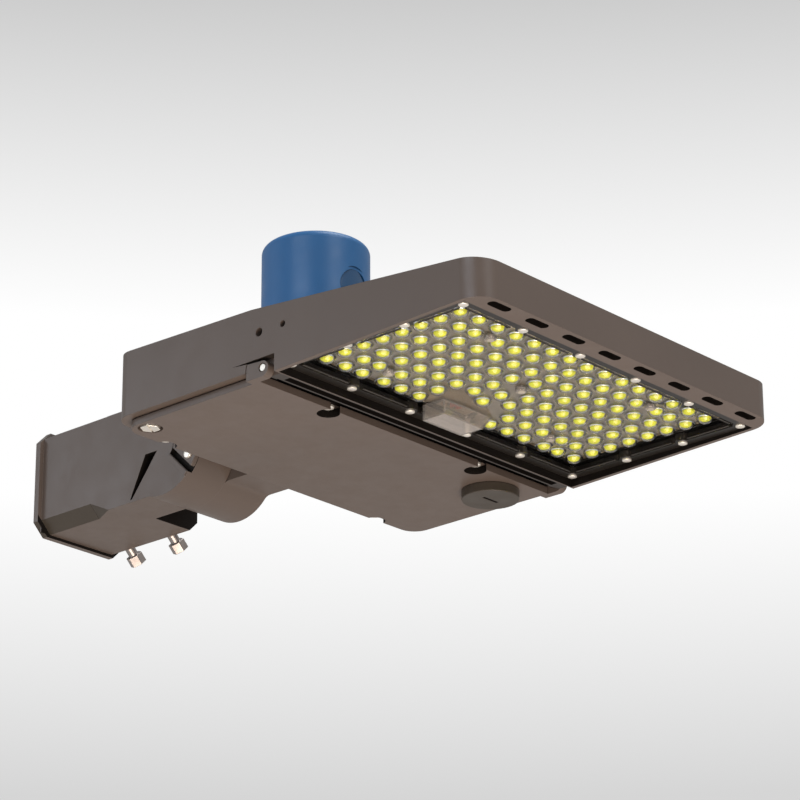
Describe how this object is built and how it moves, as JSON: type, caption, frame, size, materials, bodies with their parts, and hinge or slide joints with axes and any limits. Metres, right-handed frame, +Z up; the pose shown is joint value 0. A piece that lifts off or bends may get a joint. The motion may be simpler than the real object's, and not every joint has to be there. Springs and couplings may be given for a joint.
{
  "type": "shoebox area light",
  "caption": "Flat die-cast LED area light head with clear lens optics, hinged driver door and twist-lock photocontrol on a tilting slip-fitter arm.",
  "frame": {"origin": "centre of the tenon socket's mouth, in the plane of the flange's rear face", "axes": "+Y along the tenon, out of the socket and towards the pole; -Y is the light's front; +Z up; +X towards the side of the arm with the tenon bolts"},
  "size_m": [0.33, 0.571, 0.1933],
  "materials": {
    "bronze_paint": "satin dark bronze powder coat on die-cast aluminium",
    "bright_screws": "plain stainless steel fasteners",
    "zinc_steel": "zinc-plated steel",
    "clear_lens": "clear moulded acrylic, gloss",
    "clear_cover": "clear moulded polycarbonate, gloss",
    "seal_rubber": "matt silicone rubber",
    "board_white": "white solder mask on a metal-core board",
    "led_yellow": "yellow phosphor over the LED chips",
    "wire_red": "wire insulation",
    "gear_grey": "plain aluminium case",
    "gear_black": "matt black plastic",
    "terminal_ivory": "matt ivory plastic",
    "ground_green": "green ground screw",
    "cell_blue": "matt blue polypropylene",
    "cell_board": "green circuit board",
    "cell_window": "clear plastic window",
    "contact_brass": "plain brass"
  },
  "bodies": {
    "arm": {"slip_fitter_arm": "bronze_paint", "angle_lock_bracket": "bronze_paint", "bracket_screws": "bright_screws", "pivot_bolt": "zinc_steel", "pivot_washer": "zinc_steel", "friction_ring": "seal_rubber"},
    "head": {"housing": "bronze_paint", "knuckle": "bronze_paint", "knuckle_bolts": "zinc_steel", "lens_frame": "bronze_paint", "lens_plate": "clear_lens", "lens_gasket": "seal_rubber", "lens_frame_screws": "bright_screws", "inner_lens_screws": "bright_screws", "led_board": "board_white", "led_chips": "led_yellow", "wire_cover": "clear_cover", "wire_cover_screw": "bright_screws", "led_leads": "wire_red", "lead_grommet": "seal_rubber", "gear_tray": "zinc_steel", "tray_screws": "bright_screws", "led_driver": "gear_grey", "driver_screws": "bright_screws", "surge_protector": "gear_black", "terminal_block": "terminal_ivory", "ground_screw": "ground_green", "hinge_pins": "bright_screws", "receptacle": "gear_black", "receptacle_gasket": "seal_rubber", "receptacle_screws": "bright_screws"},
    "door": {"driver_door": "bronze_paint"},
    "captive_screw": {"captive_screw": "zinc_steel", "captive_clip": "zinc_steel"},
    "sensor_plug": {"sensor_plug": "bronze_paint", "plug_gasket": "seal_rubber"},
    "photocell": {"photocell_cover": "cell_blue", "photocell_base": "gear_black", "photocell_board": "cell_board", "photocell_window": "cell_window", "photocell_contacts": "contact_brass"},
    "tenon_bolt_front": {"tenon_bolt_front": "bright_screws"},
    "tenon_bolt_rear": {"tenon_bolt_rear": "bright_screws"}
  },
  "joints": [
    {"name": "tilt", "type": "hinge", "parent": "arm", "child": "head", "pos_m": [0, -0.1416, -0.0028], "axis": [-1, 0, 0], "range_deg": [0, 90]},
    {"name": "door_hinge", "type": "hinge", "parent": "head", "child": "door", "pos_m": [0, -0.3687, -0.0354], "axis": [-1, 0, 0], "range_deg": [0, 90]},
    {"name": "captive_screw_turn", "type": "hinge", "parent": "door", "child": "captive_screw", "pos_m": [-0.147, -0.238, -0.0425], "axis": [0, 0, 1], "continuous": true},
    {"name": "sensor_plug_turn", "type": "hinge", "parent": "door", "child": "sensor_plug", "pos_m": [0.123, -0.3328, -0.0425], "axis": [0, 0, 1], "continuous": true},
    {"name": "photocell_twist", "type": "hinge", "parent": "head", "child": "photocell", "pos_m": [0, -0.264, 0.0346], "axis": [0, 0, 1], "range_deg": [0, 30]},
    {"name": "tenon_bolt_front_slide", "type": "slide", "parent": "arm", "child": "tenon_bolt_front", "axis": [0.7071, 0, -0.7071], "range_m": [-0.0014, 0.006]},
    {"name": "tenon_bolt_rear_slide", "type": "slide", "parent": "arm", "child": "tenon_bolt_rear", "axis": [0.7071, 0, -0.7071], "range_m": [-0.0014, 0.006]}
  ]
}
